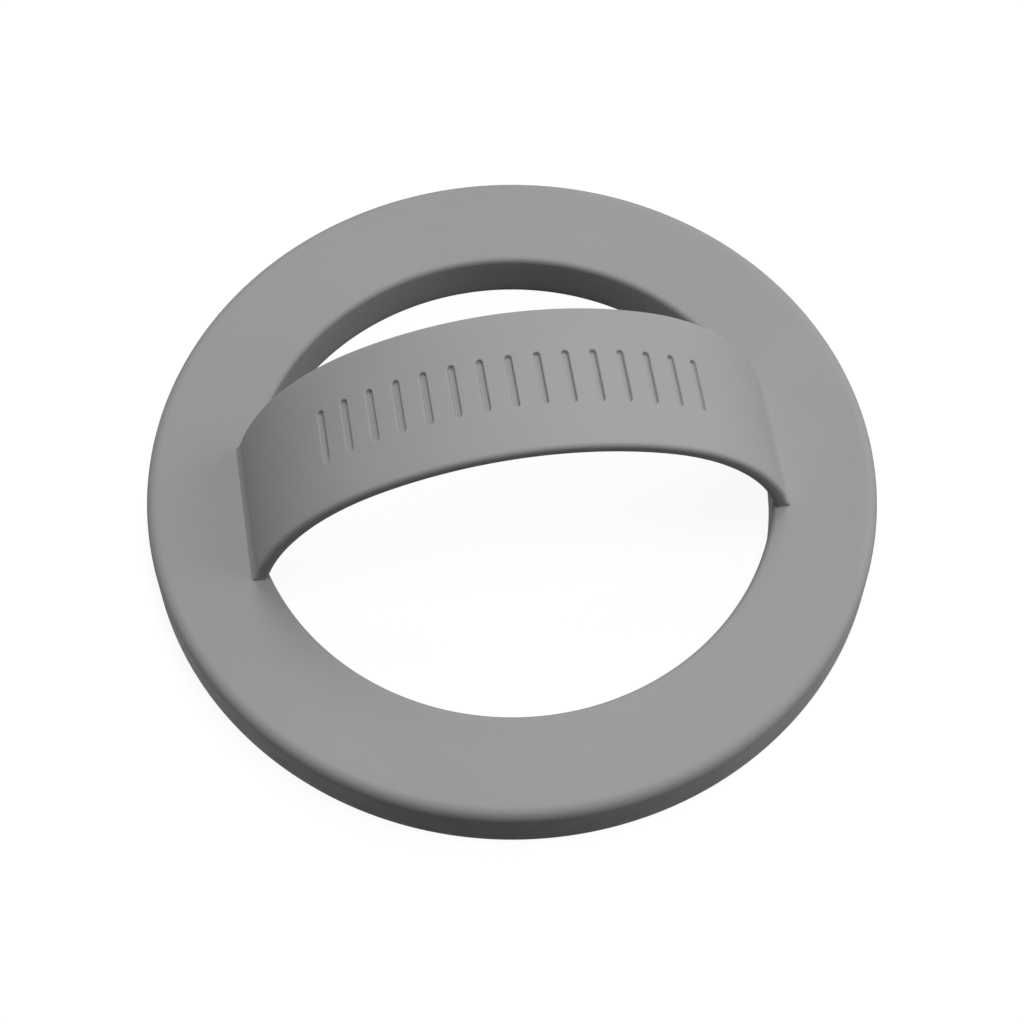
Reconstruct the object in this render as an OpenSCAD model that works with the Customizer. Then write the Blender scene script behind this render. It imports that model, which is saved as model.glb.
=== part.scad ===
// Magnetic phone ring holder: a flat soft ring with one fixed arched finger band.
// The ring rests on z = 0 with its axis on Z, and the band arches over the hole along X.
// Units are millimetres.

/* [Ring] */
// Outside diameter of the ring
ring_d = 56; // [46:0.5:64]
// Width of the ring, from its outside to the hole in the middle
ring_w = 8; // [6.5:0.25:10]
// Height of the ring from its underside to its flat top
ring_h = 4.25; // [4:0.05:6]
// Radius of the rolled edge round the outside of the top
rim_r = 0.95; // [0.4:0.05:1.4]
// Radius of the rolled edge round the hole
hole_edge_r = 0.45; // [0.2:0.05:1]
// Soft wall between the outside of the ring and its pocket
outer_wall = 0.9; // [0.7:0.05:1.4]
// Soft wall between the hole and the pocket
inner_wall = 1.1; // [0.8:0.05:1.5]

/* [Finger band] */
// Width of the band across its length
band_w = 12; // [8:0.5:16]
// Thickness of the band
band_t = 1.1; // [1:0.05:2]
// Radius along all four long edges of the band
band_edge_r = 0.45; // [0.2:0.05:0.48]
// Height of the underside of the band above the top of the ring
band_rise = 12.65; // [10:0.05:14]
// Distance that the inside of the band stands in from the wall of the hole at its widest
foot_inset = 0.08; // [0.02:0.02:0.4]
// Angle from the middle of the arch to where the flat crown becomes the rounder shoulder
crown_angle = 25.1; // [20:0.1:32]
// Radius of the hollow curve between the outside of each foot and the ring
root_r = 0.5; // [0.2:0.05:0.8]

/* [Grip grooves] */
// Number of grooves across the middle of the band
groove_count = 15; // [3:2:15]
// Distance from one groove to the next, along the band
groove_pitch = 2.1; // [1.2:0.1:2.2]
// Length of one groove, across the band
groove_l = 4.4; // [2:0.2:7]
// Width of one groove
groove_w = 0.5; // [0.3:0.05:0.8]
// Depth of one groove
groove_depth = 0.3; // [0.1:0.05:0.5]

/* [Magnets] */
// Number of arc magnets in the circle
magnet_count = 16; // [12:1:20]
// Thickness of one magnet
magnet_t = 1.95; // [1.2:0.05:2.2]
// Small radius on the edges of a magnet
magnet_edge_r = 0.2; // [0.1:0.05:0.3]
// Air left round a magnet in its window
magnet_gap = 0.05; // [0.02:0.01:0.1]

/* [Magnet cage] */
// Width of the upright rims that hold the steel ring in line
cage_rim_w = 0.5; // [0.4:0.05:0.8]
// Width of the ledge on each side that the steel ring rests on
cage_ledge_w = 0.5; // [0.3:0.05:0.8]
// Width of the bar between two magnet windows
cage_bar_w = 0.6; // [0.4:0.05:1.2]

/* [Steel ring] */
// Thickness of the flat steel ring behind the magnets
steel_t = 0.5; // [0.3:0.05:0.8]

/* [Contact pad] */
// Thickness of the soft pad that meets the phone
pad_t = 0.5; // [0.3:0.05:0.8]
// Small radius round the two lower edges of the pad
pad_edge_r = 0.15; // [0.05:0.05:0.25]
// Thickness of the adhesive film that holds the pad
film_t = 0.15; // [0.1:0.05:0.3]
// Distance from the edges of the pad to the edges of the film
film_inset = 0.4; // [0.1:0.05:0.8]

/* [Fits] */
// Air left at the sides of every part that drops into the pocket or the cage
side_gap = 0.1; // [0.05:0.01:0.15]

/* [Hidden] */
$fn = 96;
// Reach of a cutter past the face that it opens
cut_over = 1;

ring_r = ring_d / 2;
hole_r = ring_r - ring_w;

// The stack in the pocket, from the underside upwards
film_z = pad_t;
cage_z = film_z + film_t;
steel_z = cage_z + magnet_gap + magnet_t;
pocket_h = steel_z + steel_t;
magnet_z = steel_z - magnet_t;

// The pocket and what fills it, each step taken from the walls inwards
pocket_r_in = hole_r + inner_wall;
pocket_r_out = ring_r - outer_wall;
insert_r_in = pocket_r_in + side_gap;
insert_r_out = pocket_r_out - side_gap;
seat_r_in = insert_r_in + cage_rim_w;
seat_r_out = insert_r_out - cage_rim_w;
steel_r_in = seat_r_in + side_gap;
steel_r_out = seat_r_out - side_gap;
window_r_in = steel_r_in + cage_ledge_w;
window_r_out = steel_r_out - cage_ledge_w;
magnet_r_in = window_r_in + magnet_gap;
magnet_r_out = window_r_out - magnet_gap;
magnet_r_mid = (magnet_r_in + magnet_r_out) / 2;

// Angles round the ring, where a length on the middle circle becomes degrees
degrees_per_mm = 180 / (PI * magnet_r_mid);
magnet_pitch = 360 / magnet_count;
window_angle = magnet_pitch - cage_bar_w * degrees_per_mm;
magnet_angle = window_angle - 2 * magnet_gap * degrees_per_mm;

// The three-centred arch, by its inside face: it springs upright from the level of the
// underside, and a crown arc and two shoulder arcs meet without a kink at crown_angle.
// With the half span and the height given, one length fixes both radii: the distance from the
// centre of a shoulder to the centre of the crown. The joint angle and the radii are rounded
// first and the centres follow from them, so that the arcs meet exactly.
function to_step(value, step) = round(value / step) * step;
half_span = hole_r - foot_inset;
arch_h = ring_h + band_rise;
joint_angle = to_step(crown_angle, 0.01);
centre_gap = (half_span - arch_h) / (sin(joint_angle) + cos(joint_angle) - 1);
shoulder_r = to_step(half_span - centre_gap * sin(joint_angle), 0.001);
crown_r = to_step(shoulder_r + centre_gap, 0.001);
shoulder_x = (crown_r - shoulder_r) * sin(joint_angle);
crown_z = (shoulder_r - crown_r) * cos(joint_angle);
shoulder_r_out = shoulder_r + band_t;
crown_r_out = crown_r + band_t;

// The hollow root curve dips a hair below the top of the ring and the outside of the shoulder
// arc, so that it crosses both at a small angle and its two ends are buried
root_meet = 6;
root_drop = root_r * cos(root_meet);
root_z = ring_h + root_drop;
root_step = shoulder_r_out + root_drop;
root_x = shoulder_x + sqrt(root_step ^ 2 - root_z ^ 2);
root_turn = asin(root_z / root_step);

// Length along the outside of the arch from its middle to the end of the crown
crown_run = PI * crown_r_out * joint_angle / 180;

function magnet_name(i) = str("magnet_", i < 10 ? "0" : "", i);

// A flat ring with square edges
module flat_ring(r_in, r_out, h) {
    rotate_extrude() translate([r_in, 0]) square([r_out - r_in, h]);
}

// Section of the ring: square below, with a rolled edge on each side of the flat top
module ring_section() {
    translate([hole_r, 0]) square([ring_r - hole_r, ring_h - rim_r]);
    translate([hole_r, 0]) square([ring_r - hole_r - rim_r, ring_h - hole_edge_r]);
    translate([hole_r + hole_edge_r, 0]) square([ring_r - hole_r - hole_edge_r - rim_r, ring_h]);
    translate([ring_r - rim_r, ring_h - rim_r]) circle(rim_r);
    translate([hole_r + hole_edge_r, ring_h - hole_edge_r]) circle(hole_edge_r);
}

// Section of the band, from its inside face outwards, with four rounded edges
module band_section() {
    e = band_edge_r;
    translate([0, e - band_w / 2]) square([band_t, band_w - 2 * e]);
    translate([e, -band_w / 2]) square([band_t - 2 * e, band_w]);
    for (x = [e, band_t - e], y = [e - band_w / 2, band_w / 2 - e]) {
        translate([x, y]) circle(e);
    }
}

// Section of the root curve: its hollow face carries on the rounded outer edges of the band
module root_section() {
    e = band_edge_r;
    depth = band_t / 2;
    translate([root_r, e - band_w / 2]) square([depth, band_w - 2 * e]);
    translate([root_r + e, -band_w / 2]) square([depth - e, band_w]);
    for (y = [e - band_w / 2, band_w / 2 - e]) {
        translate([root_r + e, y]) intersection() {
            circle(e);
            translate([-e, -e]) square([e, 2 * e]);
        }
    }
}

// Moves its children by a round distance and then by the small rest of it, so that two arcs
// placed from different centres share one plane where they meet
module place(x, z) {
    round_x = to_step(x, 0.01);
    round_z = to_step(z, 0.01);
    translate([round_x, 0, round_z]) translate([x - round_x, 0, z - round_z]) children();
}

// Turns its children about an axis along Y through (x, z), counter-clockwise seen from the front
module sweep_about(x, z, first_angle, turn) {
    place(x, z) rotate([90, 0, 0]) rotate_extrude(start = first_angle, angle = turn) children();
}

// One side of the arch: the shoulder, which runs on down the wall of the hole as far as the
// underside, and the root curve outside
module band_side() {
    sweep_about(shoulder_x, 0, 0, 90 - joint_angle) translate([shoulder_r, 0]) band_section();
    sweep_about(root_x, root_z, 180 + root_turn, 90 - root_turn) root_section();
}

module finger_band() {
    sweep_about(0, crown_z, 90 - joint_angle, 2 * joint_angle) {
        translate([crown_r, 0]) band_section();
    }
    band_side();
    mirror([1, 0, 0]) band_side();
}

// Stands its children on the outside of the arch, at a run along it from the middle
module on_arch(run) {
    side = sign(run);
    on_crown = min(abs(run), crown_run);
    on_shoulder = abs(run) - on_crown;
    centre = on_shoulder == 0 ? [0, 0, crown_z] : [side * shoulder_x, 0, 0];
    radius = on_shoulder == 0 ? crown_r_out : shoulder_r_out;
    turn = side * (on_crown / crown_r_out + on_shoulder / shoulder_r_out) * 180 / PI;
    translate(centre) rotate([0, turn, 0]) translate([0, 0, radius]) children();
}

// Cutter for one groove with round ends, sunk below the level that it stands on
module groove_cutter() {
    straight = groove_l - groove_w;
    translate([0, 0, -groove_depth]) linear_extrude(groove_depth + cut_over) {
        translate([-groove_w / 2, -straight / 2]) square([groove_w, straight]);
        for (side = [-1, 1]) {
            translate([0, side * straight / 2]) circle(groove_w / 2);
        }
    }
}

// The soft moulding: ring and band in one piece, open below for the magnets
module silicone_body() {
    color([0.6, 0.61, 0.62]) difference() {
        union() {
            rotate_extrude() ring_section();
            finger_band();
        }
        translate([0, 0, -cut_over]) flat_ring(pocket_r_in, pocket_r_out, pocket_h + cut_over);
        for (i = [0:groove_count - 1]) {
            on_arch((i - (groove_count - 1) / 2) * groove_pitch) groove_cutter();
        }
    }
}

// Flat steel ring that closes the magnetic circuit behind the magnets
module steel_ring() {
    color([0.72, 0.73, 0.74]) translate([0, 0, steel_z]) flat_ring(steel_r_in, steel_r_out, steel_t);
}

// Plastic cage: one window for each magnet, and two rims that hold the steel ring in line
module magnet_cage() {
    color([0.15, 0.15, 0.16]) difference() {
        translate([0, 0, cage_z]) flat_ring(insert_r_in, insert_r_out, pocket_h - cage_z);
        translate([0, 0, steel_z]) flat_ring(seat_r_in, seat_r_out, steel_t + cut_over);
        for (i = [1:magnet_count]) {
            rotate([0, 0, i * magnet_pitch - window_angle / 2]) translate([0, 0, cage_z - cut_over]) {
                rotate_extrude(angle = window_angle) translate([window_r_in, 0]) {
                    square([window_r_out - window_r_in, steel_z - cage_z + 2 * cut_over]);
                }
            }
        }
    }
}

// Section of a magnet, with its four long edges eased
module magnet_section() {
    e = magnet_edge_r;
    w = magnet_r_out - magnet_r_in;
    translate([magnet_r_in, e]) square([w, magnet_t - 2 * e]);
    translate([magnet_r_in + e, 0]) square([w - 2 * e, magnet_t]);
    for (x = [magnet_r_in + e, magnet_r_out - e], y = [e, magnet_t - e]) {
        translate([x, y]) circle(e);
    }
}

// One arc magnet, which hangs by its pull from the underside of the steel ring
module magnet(i) {
    color([0.78, 0.78, 0.76]) rotate([0, 0, i * magnet_pitch - magnet_angle / 2]) {
        translate([0, 0, magnet_z]) rotate_extrude(angle = magnet_angle) magnet_section();
    }
}

// Adhesive film between the cage and the contact pad
module adhesive_film() {
    color([0.9, 0.9, 0.86]) translate([0, 0, film_z]) {
        flat_ring(insert_r_in + film_inset, insert_r_out - film_inset, film_t);
    }
}

// Soft pad level with the underside of the ring, with its lower edges eased
module contact_pad() {
    e = pad_edge_r;
    w = insert_r_out - insert_r_in;
    color([0.45, 0.46, 0.47]) rotate_extrude() {
        translate([insert_r_in, e]) square([w, pad_t - e]);
        translate([insert_r_in + e, 0]) square([w - 2 * e, pad_t]);
        for (x = [insert_r_in + e, insert_r_out - e]) {
            translate([x, e]) circle(e);
        }
    }
}

silicone_body();
steel_ring();
magnet_cage();
for (i = [1:magnet_count]) {
    magnet(i);
}
adhesive_film();
contact_pad();
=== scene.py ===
import math

import bmesh
import bpy
from mathutils import Matrix, Vector


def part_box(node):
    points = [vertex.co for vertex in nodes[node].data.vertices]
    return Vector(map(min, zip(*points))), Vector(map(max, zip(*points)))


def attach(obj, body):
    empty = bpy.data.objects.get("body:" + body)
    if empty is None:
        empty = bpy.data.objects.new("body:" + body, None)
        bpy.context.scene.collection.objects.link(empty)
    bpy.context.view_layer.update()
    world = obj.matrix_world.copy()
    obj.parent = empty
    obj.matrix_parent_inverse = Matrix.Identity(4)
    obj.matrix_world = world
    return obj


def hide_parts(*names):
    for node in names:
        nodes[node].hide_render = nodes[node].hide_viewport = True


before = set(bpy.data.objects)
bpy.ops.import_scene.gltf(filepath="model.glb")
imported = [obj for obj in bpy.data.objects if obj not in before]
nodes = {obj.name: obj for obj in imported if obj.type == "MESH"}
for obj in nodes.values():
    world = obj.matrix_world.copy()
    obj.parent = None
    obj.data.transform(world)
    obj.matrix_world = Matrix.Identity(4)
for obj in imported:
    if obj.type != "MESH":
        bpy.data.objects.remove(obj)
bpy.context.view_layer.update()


# Soft body, first part: the flat ring. It is the lower half of one silicone moulding, with a
# rolled rim, a smaller roll round the hole, and a pocket below that the magnets drop into.
# Sizes are in millimetres and become metres once the moulding is whole.
MM = 0.001
ring_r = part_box("silicone_body")[1].x / MM
pocket_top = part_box("steel_ring")[1].z / MM
side_gap = 0.1
pocket_r_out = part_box("contact_pad")[1].x / MM + side_gap
pocket_r_in = 21.1
hole_r = 20.0
ring_h = 4.25
rim_r = 0.95
hole_edge_r = 0.45
under_edge_r = 0.12
cut_over = 1.0

turn_steps = 360
rim_steps = 12
hole_edge_steps = 9
under_edge_steps = 3
outer_wall_steps = 4
top_steps = 8
hole_wall_steps = 6


def arc(centre, radius, start, end, steps):
    """Points of an arc in a plane, angles in degrees from the first axis."""
    points = []
    for i in range(steps + 1):
        a = math.radians(start + (end - start) * i / steps)
        points.append((centre[0] + radius * math.cos(a), centre[1] + radius * math.sin(a)))
    return points


def line(start, end, steps):
    """Points from start to end, without the two ends."""
    return [
        tuple(s + (e - s) * i / steps for s, e in zip(start, end))
        for i in range(1, steps)
    ]


def placed(name, data):
    """A new object in the scene, made from a mesh, a lamp or a camera."""
    made = bpy.data.objects.new(name, data)
    bpy.context.scene.collection.objects.link(made)
    return made


def turned(name, outline, steps):
    """A closed outline of (radius, height) points turned about the axis of the ring."""
    mesh = bpy.data.meshes.new(name)
    bm = bmesh.new()
    loops = []
    for i in range(steps):
        a = 2 * math.pi * i / steps
        loops.append([bm.verts.new((r * math.cos(a), r * math.sin(a), z)) for r, z in outline])
    for here, there in zip(loops, loops[1:] + loops[:1]):
        for i in range(len(outline)):
            bm.faces.new((here[i - 1], there[i - 1], there[i], here[i]))
    bmesh.ops.recalc_face_normals(bm, faces=bm.faces)
    bm.to_mesh(mesh)
    bm.free()
    return placed(name, mesh)


rim = arc((ring_r - rim_r, ring_h - rim_r), rim_r, 0, 90, rim_steps)
hole_edge = arc(
    (hole_r + hole_edge_r, ring_h - hole_edge_r), hole_edge_r, 90, 180, hole_edge_steps
)
under_in = arc((hole_r + under_edge_r, under_edge_r), under_edge_r, 180, 270, under_edge_steps)
under_out = arc((ring_r - under_edge_r, under_edge_r), under_edge_r, 270, 360, under_edge_steps)
ring_outline = (
    under_out
    + line(under_out[-1], rim[0], outer_wall_steps)
    + rim
    + line(rim[-1], hole_edge[0], top_steps)
    + hole_edge
    + line(hole_edge[-1], under_in[0], hole_wall_steps)
    + under_in
)
body = turned("soft_body", ring_outline, turn_steps)
pocket_outline = [
    (pocket_r_in, -cut_over),
    (pocket_r_out, -cut_over),
    (pocket_r_out, pocket_top),
    (pocket_r_in, pocket_top),
]
pocket = turned("pocket", pocket_outline, turn_steps)


# Soft body, second part: the finger band, moulded in one with the ring. It is a three-centred
# arch of one rounded section, which springs from the wall of the hole, with a narrow hollow
# flare outside each foot and a row of soft-edged grip grooves across its middle.
band_w = 12.0
band_t = 1.1
band_edge_r = 0.38
foot_inset = 0.08
foot_lean = 0.02
crown_angle = math.radians(25.1)
arch_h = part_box("silicone_body")[1].z / MM - band_t

# The two radii are those of the outer face, and the crown's centre lies on the axis
half_span = hole_r - foot_inset
centre_gap = (half_span - arch_h) / (math.sin(crown_angle) + math.cos(crown_angle) - 1)
shoulder_r = half_span - centre_gap * math.sin(crown_angle) + band_t
crown_r = shoulder_r + centre_gap
crown_run = crown_r * crown_angle
shoulder_x = centre_gap * math.sin(crown_angle)
crown_z = -centre_gap * math.cos(crown_angle)
foot_end_turn = math.asin(under_edge_r / (shoulder_r - band_t))

flare_top = 5.7
flare_x = 20.64
flare_r = 3.2
flare_corner = 0.4
flare_turn = math.asin(flare_top / shoulder_r)
flare_run = crown_run + shoulder_r * (math.pi / 2 - flare_turn - crown_angle)
buried_step = 0.25

groove_count = 15
groove_pitch = 2.1
groove_l = 4.4
groove_w = 0.5
groove_depth = 0.3
groove_lip_r = 0.1
groove_floor_r = 0.12
groove_draft = 0.02
groove_apron = 0.12
floor_strip_half = 0.05
half_row = groove_count * groove_pitch / 2

across_steps = 24
edge_steps = 6
free_steps = 48
flare_steps = 10
buried_steps = 3
cell_steps = 8
apron_steps = 5
groove_round_steps = 5

# Across the band: how deep each point lies, from the outer face or from the inner one
flat_half = band_w / 2 - band_edge_r
across_outer = [
    (flat_half - 2 * flat_half * i / across_steps, 0.0) for i in range(across_steps + 1)
]
edge = [
    (flat_half + band_edge_r * math.sin(a), band_edge_r * (1 - math.cos(a)))
    for a in [math.radians(90 * i / edge_steps) for i in range(1, edge_steps + 1)]
]
across_outer = (
    [(y, d) for y, d in reversed(edge)] + across_outer + [(-y, d) for y, d in edge]
)
across_inner = [(y, d) for y, d in reversed(across_outer)]


def on_arch(run, depth):
    """Place and outward direction, in x and z, on the arch at a run along its outside."""
    side = math.copysign(1, run)
    on_crown = min(abs(run), crown_run)
    on_shoulder = abs(run) - on_crown
    turn = on_crown / crown_r + on_shoulder / shoulder_r
    radius = (shoulder_r if on_shoulder else crown_r) - depth
    x = (shoulder_x if on_shoulder else 0) + radius * math.sin(turn)
    z = (0 if on_shoulder else crown_z) + radius * math.cos(turn)
    return side * x, z, side * math.sin(turn), math.cos(turn)


def flare():
    """Places and directions down the hollow flare, from the crease on the band to the ring."""
    top = (shoulder_x + shoulder_r * math.cos(flare_turn), flare_top)
    out, down = flare_x - top[0], top[1] - ring_h
    half_open = math.asin(math.hypot(out, down) / 2 / flare_r)
    facing = math.atan2(out, down)
    reach = flare_r * math.cos(half_open)
    centre_x = (top[0] + flare_x) / 2 + reach * math.cos(facing)
    centre_z = (top[1] + ring_h) / 2 + reach * math.sin(facing)
    places = []
    for i in range(flare_steps + 1):
        share = i / flare_steps
        turn = facing + half_open * (2 * share - 1)
        corner = 1 - (1 - flare_corner) * share
        places.append(
            (
                centre_x - flare_r * math.cos(turn),
                centre_z - flare_r * math.sin(turn),
                corner * math.cos(turn),
                corner * math.sin(turn),
            )
        )
    for i in range(1, buried_steps + 1):
        places.append((flare_x, ring_h - buried_step * i, flare_corner, 0))
    return places


def half_stations():
    """Outer and inner places with their directions, from the end of the grooves to the foot."""
    stations = []
    for i in range(1, free_steps):
        run = half_row + (flare_run - half_row) * i / free_steps
        stations.append((on_arch(run, 0), on_arch(run, band_t)))
    outer_places = flare()
    for i, outer in enumerate(outer_places):
        turn = flare_turn + (foot_end_turn - flare_turn) * i / (len(outer_places) - 1)
        inner = (
            shoulder_x + (shoulder_r - band_t) * math.cos(turn),
            (shoulder_r - band_t) * math.sin(turn),
            math.cos(turn),
            math.sin(turn),
        )
        stations.append((outer, inner))
    return stations


def section_at(bm, station):
    """One rounded section of the band, as a closed loop of points round it."""
    outer, inner = station
    loop = []
    for y, d in across_outer:
        loop.append(bm.verts.new((outer[0] - d * outer[2], y, outer[1] - d * outer[3])))
    for y, d in across_inner:
        loop.append(bm.verts.new((inner[0] + d * inner[2], y, inner[1] + d * inner[3])))
    return loop


def groove_outline(out):
    """Points round a groove at a distance out from its nominal wall, as run and width places."""
    radius = groove_w / 2 + out
    straight = (groove_l - groove_w) / 2
    steps = across_steps - cell_steps
    eighth = cell_steps // 2
    points = []
    # Down the left side, from the round end at the top to the one at the bottom, and back up
    for i in range(eighth):
        a = math.radians(135 + 45 * i / eighth)
        points.append((radius * math.cos(a), straight + radius * math.sin(a)))
    for i in range(steps):
        points.append((-radius, straight - 2 * straight * i / steps))
    for i in range(4 * eighth):
        a = math.radians(180 + 45 * i / eighth)
        points.append((radius * math.cos(a), -straight + radius * math.sin(a)))
    for i in range(steps):
        points.append((radius, -straight + 2 * straight * i / steps))
    for i in range(3 * eighth):
        a = math.radians(45 * i / eighth)
        points.append((radius * math.cos(a), straight + radius * math.sin(a)))
    return points


def groove_profile():
    """Distance out from the wall and depth, from the flat face down to the groove's floor."""
    turns = [math.radians(90 * i / groove_round_steps) for i in range(groove_round_steps + 1)]
    apron = (groove_lip_r + groove_apron, 0.0)
    lip = [(groove_lip_r * (1 - math.sin(a)), groove_lip_r * (1 - math.cos(a))) for a in turns]
    floor = [
        (
            -groove_draft - groove_floor_r * (1 - math.cos(a)),
            groove_depth - groove_floor_r * (1 - math.sin(a)),
        )
        for a in turns
    ]
    last = (floor_strip_half - groove_w / 2, groove_depth)
    return [apron] + lip + floor + [last]


def cell_border():
    """Points round one cell of the flat face, one for each point of a groove's outline."""
    half_pitch = groove_pitch / 2
    border = []
    for i in range(across_steps):
        border.append((-half_pitch, flat_half - 2 * flat_half * i / across_steps))
    for i in range(cell_steps):
        border.append((-half_pitch + groove_pitch * i / cell_steps, -flat_half))
    for i in range(across_steps):
        border.append((half_pitch, -flat_half + 2 * flat_half * i / across_steps))
    for i in range(cell_steps):
        border.append((half_pitch - groove_pitch * i / cell_steps, flat_half))
    return border


def lay_groove(bm, cell, run):
    """Fills one cell of the outer face with a groove, loop by loop from the cell's border."""
    profile = groove_profile()
    border = cell_border()
    apron = groove_outline(profile[0][0])
    rings = []
    for k in range(1, apron_steps):
        f = k / apron_steps
        ring = []
        for b, o in zip(border, apron):
            ring.append((b[0] + (o[0] - b[0]) * f, b[1] + (o[1] - b[1]) * f, 0.0))
        rings.append(ring)
    for out, depth in profile:
        rings.append([(s, t, depth) for s, t in groove_outline(out)])
    previous = cell
    for ring in rings:
        loop = []
        for s, t, depth in ring:
            x, z, _, _ = on_arch(run + s, depth)
            loop.append(bm.verts.new((x, t, z)))
        for i in range(len(loop)):
            bm.faces.new((previous[i - 1], loop[i - 1], loop[i], previous[i]))
        previous = loop
    # The floor: strips from the left side of the last loop to its mirror on the right
    count = len(previous)
    for i in range(-(cell_steps // 2), across_steps + cell_steps // 2):
        left, left_next = previous[i % count], previous[(i + 1) % count]
        mirror = (-cell_steps - i) % count
        right, right_next = previous[mirror], previous[(mirror - 1) % count]
        corners = []
        for v in (left, left_next, right_next, right):
            if v not in corners:
                corners.append(v)
        if len(corners) > 2:
            bm.faces.new(corners)


def band_mesh():
    """The whole band as one closed mesh, with the grooves laid into its outer face."""
    bm = bmesh.new()
    right = half_stations()
    left = [
        ((-o[0], o[1], -o[2], o[3]), (-i[0], i[1], -i[2], i[3])) for o, i in reversed(right)
    ]
    middle = []
    for i in range(groove_count * cell_steps + 1):
        run = -half_row + groove_pitch * i / cell_steps
        middle.append((on_arch(run, 0), on_arch(run, band_t)))
    loops = [section_at(bm, station) for station in left + middle + right]
    first_groove = len(left)
    last_groove = first_groove + len(middle) - 1
    flat_first = edge_steps
    flat_last = flat_first + across_steps
    for k in range(len(loops) - 1):
        here, there = loops[k], loops[k + 1]
        for i in range(len(here)):
            j = (i + 1) % len(here)
            grooved = first_groove <= k < last_groove and flat_first <= i < flat_last
            if not grooved:
                bm.faces.new((here[i], here[j], there[j], there[i]))
    bm.faces.new(loops[0])
    bm.faces.new(reversed(loops[-1]))
    for g in range(groove_count):
        first = first_groove + g * cell_steps
        cell = [loops[first][i] for i in range(flat_first, flat_last)]
        cell += [loops[first + k][flat_last] for k in range(cell_steps)]
        cell += [loops[first + cell_steps][i] for i in range(flat_last, flat_first, -1)]
        cell += [loops[first + cell_steps - k][flat_first] for k in range(cell_steps)]
        lay_groove(bm, cell, (g - (groove_count - 1) / 2) * groove_pitch)
    # The band is a little narrower at its feet, so that it leaves the mould
    for v in bm.verts:
        v.co.y *= 1 - foot_lean * (1 - (v.co.z - ring_h) / (arch_h + band_t - ring_h))
    bmesh.ops.recalc_face_normals(bm, faces=bm.faces)
    mesh = bpy.data.meshes.new("band")
    bm.to_mesh(mesh)
    bm.free()
    return mesh


# The band is joined on and the pocket cut out, and points that fall together become one
weld = 0.0001
band = placed("band", band_mesh())
for tool, operation in ((band, "UNION"), (pocket, "DIFFERENCE")):
    join = body.modifiers.new(tool.name, "BOOLEAN")
    join.operation = operation
    join.solver = "EXACT"
    join.object = tool
moulded = bpy.data.meshes.new_from_object(
    body.evaluated_get(bpy.context.evaluated_depsgraph_get())
)
body.modifiers.clear()
body.data = moulded
for tool in (band, pocket):
    bpy.data.objects.remove(tool)
bm = bmesh.new()
bm.from_mesh(moulded)
bmesh.ops.remove_doubles(bm, verts=bm.verts, dist=weld)
bm.to_mesh(moulded)
bm.free()


def surface(name):
    """A new material, its node tree and its shader."""
    made = bpy.data.materials.new(name)
    made.use_nodes = True
    return made, made.node_tree, made.node_tree.nodes["Principled BSDF"]


def blotches(tree, size, detail=2.0, stretch=(1, 1, 1)):
    """A noise through the solid, with blotches of one size in millimetres."""
    place = tree.nodes.new("ShaderNodeTexCoord")
    lay = tree.nodes.new("ShaderNodeMapping")
    lay.inputs["Scale"].default_value = stretch
    field = tree.nodes.new("ShaderNodeTexNoise")
    field.inputs["Scale"].default_value = 1 / (size * MM)
    field.inputs["Detail"].default_value = detail
    tree.links.new(place.outputs["Object"], lay.inputs["Vector"])
    tree.links.new(lay.outputs["Vector"], field.inputs["Vector"])
    return field.outputs["Fac"]


def graded(tree, amount, low, high):
    """Turns the middle of a noise, where most of it lies, into a value between low and high."""
    grade = tree.nodes.new("ShaderNodeMapRange")
    grade.inputs["From Min"].default_value = 0.3
    grade.inputs["From Max"].default_value = 0.7
    grade.inputs["To Min"].default_value = low
    grade.inputs["To Max"].default_value = high
    tree.links.new(amount, grade.inputs["Value"])
    return grade.outputs["Result"]


def tint(tree, shader, amount, darker, lighter):
    """Colours the surface between two colours by a noise."""
    mix = tree.nodes.new("ShaderNodeMix")
    mix.data_type = "RGBA"
    mix.inputs["A"].default_value = (*darker, 1)
    mix.inputs["B"].default_value = (*lighter, 1)
    tree.links.new(graded(tree, amount, low=0, high=1), mix.inputs["Factor"])
    tree.links.new(mix.outputs["Result"], shader.inputs["Base Color"])


def roughen(tree, shader, amount, low, high):
    """Lets the roughness go between two values by a noise."""
    tree.links.new(graded(tree, amount, low, high), shader.inputs["Roughness"])


def relief(tree, shader, amount, depth):
    """Raises the surface by a noise, as deep as depth in millimetres."""
    bump = tree.nodes.new("ShaderNodeBump")
    bump.inputs["Distance"].default_value = depth * MM
    tree.links.new(amount, bump.inputs["Height"])
    tree.links.new(bump.outputs["Normal"], shader.inputs["Normal"])


crease_angle = math.radians(32)


def seat(piece, node, material):
    """Brings a piece from millimetres to metres, shades it and puts it in its node's place."""
    piece.data.transform(Matrix.Scale(MM, 4))
    piece.data.shade_smooth()
    piece.data.set_sharp_from_angle(angle=crease_angle)
    piece.modifiers.new("even_shading", "WEIGHTED_NORMAL").keep_sharp = True
    piece.data.materials.clear()
    piece.data.materials.append(material)
    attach(piece, "root")
    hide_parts(node)


# The silicone is cast in a finely blasted mould: dull, very slightly clouded, with a grain that
# is felt more than seen
silicone, tree, shader = surface("satin_silicone")
clouds = blotches(tree, size=7.0, detail=3.0)
tint(tree, shader, clouds, darker=(0.324, 0.329, 0.334), lighter=(0.334, 0.339, 0.344))
roughen(tree, shader, blotches(tree, size=1.5), low=0.54, high=0.62)
shader.inputs["Specular IOR Level"].default_value = 0.05
relief(tree, shader, blotches(tree, size=0.14), depth=0.0016)
seat(body, "silicone_body", silicone)


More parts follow.
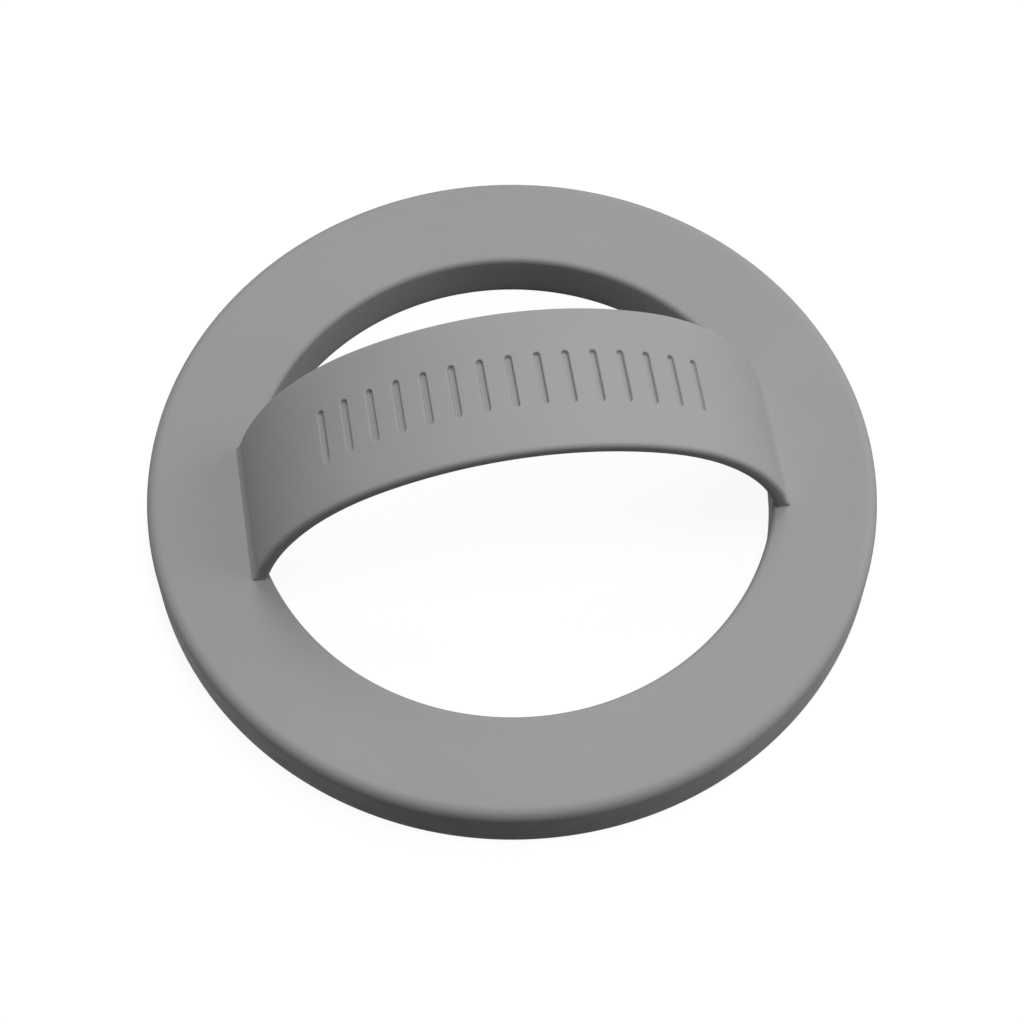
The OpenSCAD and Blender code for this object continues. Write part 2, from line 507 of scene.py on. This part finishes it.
# Steel ring: a flat ring punched from rolled strip, which closes the magnets' field behind
# them. The rolling left straight fine lines across the whole ring, and it lies in the cage.
rolled_steel, tree, shader = surface("rolled_steel")
strip_lines = blotches(tree, size=0.12, detail=4.0, stretch=(0.03, 1, 1))
stains = blotches(tree, size=5.0)
tint(tree, shader, stains, darker=(0.52, 0.53, 0.54), lighter=(0.58, 0.59, 0.6))
roughen(tree, shader, strip_lines, low=0.26, high=0.42)
shader.inputs["Metallic"].default_value = 1
relief(tree, shader, strip_lines, depth=0.002)
nodes["steel_ring"].material_slots[0].material = rolled_steel


# Magnet cage: black moulded plastic with a window for each magnet and a rim on each side of
# the steel ring. Its tool was spark eroded, so every face has an even fine grain.
spark_plastic, tree, shader = surface("spark_plastic")
pits = blotches(tree, size=0.16, detail=3.0)
tint(tree, shader, pits, darker=(0.026, 0.026, 0.028), lighter=(0.034, 0.034, 0.036))
roughen(tree, shader, pits, low=0.5, high=0.66)
relief(tree, shader, pits, depth=0.012)
nodes["magnet_cage"].material_slots[0].material = spark_plastic


# Magnets: sixteen sintered arcs, barrel plated with satin nickel. The plate is a little uneven
# and dulls in patches, and each magnet hangs from the steel ring by its own pull.
nickel, tree, shader = surface("nickel_plate")
patches = blotches(tree, size=1.8, detail=3.0)
tint(tree, shader, patches, darker=(0.57, 0.56, 0.53), lighter=(0.63, 0.62, 0.59))
roughen(tree, shader, patches, low=0.22, high=0.36)
shader.inputs["Metallic"].default_value = 1
relief(tree, shader, blotches(tree, size=0.25), depth=0.003)
for name, magnet in nodes.items():
    if name.startswith("magnet_") and name != "magnet_cage":
        magnet.material_slots[0].material = nickel


# Adhesive film: a clear carrier with milky glue on both faces, die cut as a flat ring. The
# glue has a soft orange-peel face, and it holds the pad up against the cage.
milky_glue, tree, shader = surface("milky_glue")
peel = blotches(tree, size=0.5)
streaks = blotches(tree, size=3.0, detail=3.0)
tint(tree, shader, streaks, darker=(0.77, 0.77, 0.7), lighter=(0.83, 0.83, 0.78))
roughen(tree, shader, peel, low=0.28, high=0.44)
relief(tree, shader, peel, depth=0.006)
nodes["adhesive_film"].material_slots[0].material = milky_glue


# Contact pad: the soft ring that meets the phone, stamped from sheet rubber with a suede-like
# grain. Its lower edges are eased, and it lies level with the lips of the soft body.
pad_r_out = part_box("contact_pad")[1].x / MM
pad_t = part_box("contact_pad")[1].z / MM
pad_r_in = pocket_r_in + side_gap
pad_edge_r = 0.15
pad_back_r = 0.05
pad_edge_steps = 6
pad_back_steps = 3
pad_width_steps = 8

back_z = pad_t - pad_back_r
pad_back_out = arc((pad_r_out - pad_back_r, back_z), pad_back_r, 0, 90, pad_back_steps)
pad_back_in = arc((pad_r_in + pad_back_r, back_z), pad_back_r, 90, 180, pad_back_steps)
pad_face_in = arc((pad_r_in + pad_edge_r, pad_edge_r), pad_edge_r, 180, 270, pad_edge_steps)
pad_face_out = arc((pad_r_out - pad_edge_r, pad_edge_r), pad_edge_r, 270, 360, pad_edge_steps)
pad_outline = (
    pad_back_out
    + line(pad_back_out[-1], pad_back_in[0], pad_width_steps)
    + pad_back_in
    + pad_face_in
    + line(pad_face_in[-1], pad_face_out[0], pad_width_steps)
    + pad_face_out
)
pad = turned("soft_pad", pad_outline, turn_steps)
suede_rubber, tree, shader = surface("suede_rubber")
nap = blotches(tree, size=0.09, detail=3.0)
shades = blotches(tree, size=2.5, detail=3.0)
tint(tree, shader, shades, darker=(0.186, 0.19, 0.196), lighter=(0.214, 0.218, 0.224))
roughen(tree, shader, nap, low=0.72, high=0.86)
shader.inputs["Specular IOR Level"].default_value = 0.25
relief(tree, shader, nap, depth=0.012)
seat(pad, "contact_pad", suede_rubber)


# Table and room: the holder lies on a plain pale sheet in a white room. Both show as white, and
# the sheet keeps a faint contact shadow, while the light that they send back stays low.
table_half = 3.0
table_drop = 0.00002
sheet_grey = 0.1
shadow_grey = 0.12
sheet_glow = 0.93
room_light = 0.02


def shows_white(tree, plain, white):
    """Mixes two shaders so that camera, glossy and transmission rays meet the white one."""
    rays = tree.nodes.new("ShaderNodeLightPath")
    seen = tree.nodes.new("ShaderNodeMath")
    seen.operation = "MAXIMUM"
    seen_through = tree.nodes.new("ShaderNodeMath")
    seen_through.operation = "MAXIMUM"
    mix = tree.nodes.new("ShaderNodeMixShader")
    tree.links.new(rays.outputs["Is Camera Ray"], seen.inputs[0])
    tree.links.new(rays.outputs["Is Glossy Ray"], seen.inputs[1])
    tree.links.new(seen.outputs[0], seen_through.inputs[0])
    tree.links.new(rays.outputs["Is Transmission Ray"], seen_through.inputs[1])
    tree.links.new(seen_through.outputs[0], mix.inputs["Fac"])
    tree.links.new(plain.outputs[0], mix.inputs[1])
    tree.links.new(white.outputs[0], mix.inputs[2])
    return mix.outputs[0]


table_corners = [(-1, -1), (1, -1), (1, 1), (-1, 1)]
table_mesh = bpy.data.meshes.new("table")
table_mesh.from_pydata(
    [(x * table_half, y * table_half, 0) for x, y in table_corners], [], [(0, 1, 2, 3)]
)
table = placed("table", table_mesh)
table.location.z = -table_drop
sheet = bpy.data.materials.new("pale_sheet")
sheet.use_nodes = True
tree = sheet.node_tree
tree.nodes.clear()
plain = tree.nodes.new("ShaderNodeBsdfDiffuse")
plain.inputs["Color"].default_value = (sheet_grey, sheet_grey, sheet_grey, 1)
shaded = tree.nodes.new("ShaderNodeBsdfDiffuse")
shaded.inputs["Color"].default_value = (shadow_grey, shadow_grey, shadow_grey, 1)
glow = tree.nodes.new("ShaderNodeEmission")
glow.inputs["Strength"].default_value = sheet_glow
white = tree.nodes.new("ShaderNodeAddShader")
tree.links.new(shaded.outputs[0], white.inputs[0])
tree.links.new(glow.outputs[0], white.inputs[1])
sheet_output = tree.nodes.new("ShaderNodeOutputMaterial")
tree.links.new(shows_white(tree, plain, white), sheet_output.inputs["Surface"])
table_mesh.materials.append(sheet)

room = bpy.data.worlds.new("studio")
room.use_nodes = True
tree = room.node_tree
tree.nodes.clear()
dim = tree.nodes.new("ShaderNodeBackground")
dim.inputs["Strength"].default_value = room_light
bright = tree.nodes.new("ShaderNodeBackground")
bright.inputs["Color"].default_value = (1, 1, 1, 1)
room_output = tree.nodes.new("ShaderNodeOutputWorld")
tree.links.new(shows_white(tree, dim, bright), room_output.inputs["Surface"])
bpy.context.scene.world = room
bpy.context.scene.view_settings.view_transform = "Standard"


# Lamps: four round soft boxes, a wide one low on the right, a large one behind, a smaller one
# low on the left and a small one close overhead. Each has its bearing and height in degrees, its
# distance and size in metres, and its level: how bright a white card that faces it would be.
lamps = (
    ("right_box", 0, 25, 1.4, 1.8, 0.69),
    ("back_box", 75, 55, 1.5, 0.8, 0.395),
    ("left_box", 170, 15, 1.4, 0.8, 0.185),
    ("top_box", -50, 83, 0.25, 0.1, 0.407),
)
for name, around, up, away, across, level in lamps:
    light = bpy.data.lights.new(name, "AREA")
    light.shape = "DISK"
    light.size = across
    light.energy = level * math.pi**2 * away**2
    lamp = placed(name, light)
    a, e = math.radians(around), math.radians(up)
    towards = Vector((math.cos(a) * math.cos(e), math.sin(a) * math.cos(e), math.sin(e)))
    lamp.location = towards * away
    lamp.rotation_euler = towards.to_track_quat("Z", "Y").to_euler()


# Camera: it stands in front, a little to the left, and looks steeply down at the holder, at the
# photograph's angle and distance
azimuth, elevation = math.radians(-9.08), math.radians(61.1)
distance = 0.191525
aim = Vector((0, 0, -0.001444))
back = Vector(
    (
        math.sin(azimuth) * math.cos(elevation),
        -math.cos(azimuth) * math.cos(elevation),
        math.sin(elevation),
    )
)
camera = placed("camera", bpy.data.cameras.new("camera"))
camera.location = aim + back * distance
camera.rotation_euler = back.to_track_quat("Z", "Y").to_euler()
camera.data.sensor_width = 36
camera.data.lens = 85.641
camera.data.clip_start = 0.01
bpy.context.scene.camera = camera
